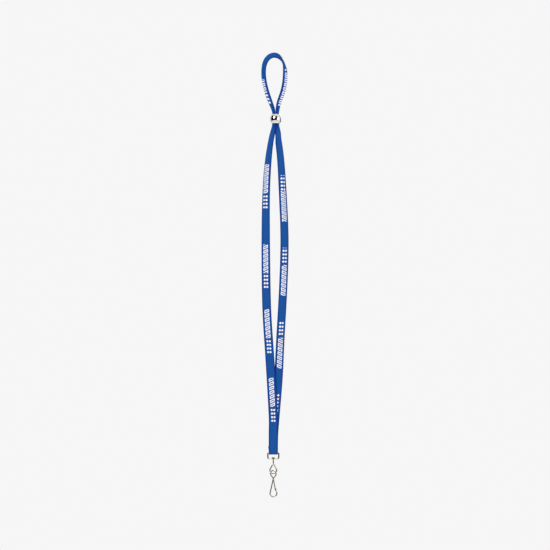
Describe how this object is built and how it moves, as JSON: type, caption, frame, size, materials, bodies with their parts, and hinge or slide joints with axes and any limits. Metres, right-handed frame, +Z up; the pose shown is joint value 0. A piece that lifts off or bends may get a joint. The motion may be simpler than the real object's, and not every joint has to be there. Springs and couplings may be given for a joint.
{
  "type": "lanyard",
  "caption": "Neck lanyard of narrow woven strap, with a sliding barrel bead and a swivelling wire snap hook in a small wire bracket.",
  "frame": {"origin": "inside of the crest of the small top loop, where a peg or hook would carry the lanyard", "axes": "+Z up along the hanging lanyard, +X to the right seen from the front, -Y towards the front"},
  "size_m": [0.0296, 0.0124, 0.48],
  "materials": {
    "strap_polyester": "woven polyester, satin",
    "thread": "polyester sewing thread",
    "bead_chrome": "polished chrome plate",
    "nickel_steel": "bright nickel plate on steel wire"
  },
  "bodies": {
    "strap": {"neck_loop": "strap_polyester", "left_strand": "strap_polyester", "right_strand": "strap_polyester", "hook_fold": "strap_polyester", "seam_stitches": "thread"},
    "bead": {"bead": "bead_chrome"},
    "bracket": {"bracket": "nickel_steel"},
    "swivel": {"swivel_eye": "nickel_steel"},
    "hook": {"snap_hook": "nickel_steel"},
    "gate": {"gate": "nickel_steel"}
  },
  "joints": [
    {"name": "bead_slide", "type": "slide", "parent": "strap", "child": "bead", "axis": [0, 0, 1], "range_m": [-0.18, 0.03], "deforming": ["neck_loop", "left_strand", "right_strand"]},
    {"name": "bracket_tilt", "type": "hinge", "parent": "strap", "child": "bracket", "pos_m": [-0.0003, 0, -0.4269], "axis": [1, 0, 0], "range_deg": [-135, 135]},
    {"name": "swivel_spin", "type": "hinge", "parent": "bracket", "child": "swivel", "pos_m": [-0.0003, 0, -0.4328], "axis": [0, 0, 1], "continuous": true},
    {"name": "hook_swing", "type": "hinge", "parent": "swivel", "child": "hook", "pos_m": [-0.0003, 0, -0.4455], "axis": [0, 1, 0], "range_deg": [-55, 55]},
    {"name": "gate_flex", "type": "hinge", "parent": "hook", "child": "gate", "pos_m": [0.00019, 0.00052, -0.45705], "axis": [0, 1, 0], "range_deg": [0, 20], "stiffness_Nm_per_rad": 0.1, "springref_deg": -5.73}
  ]
}
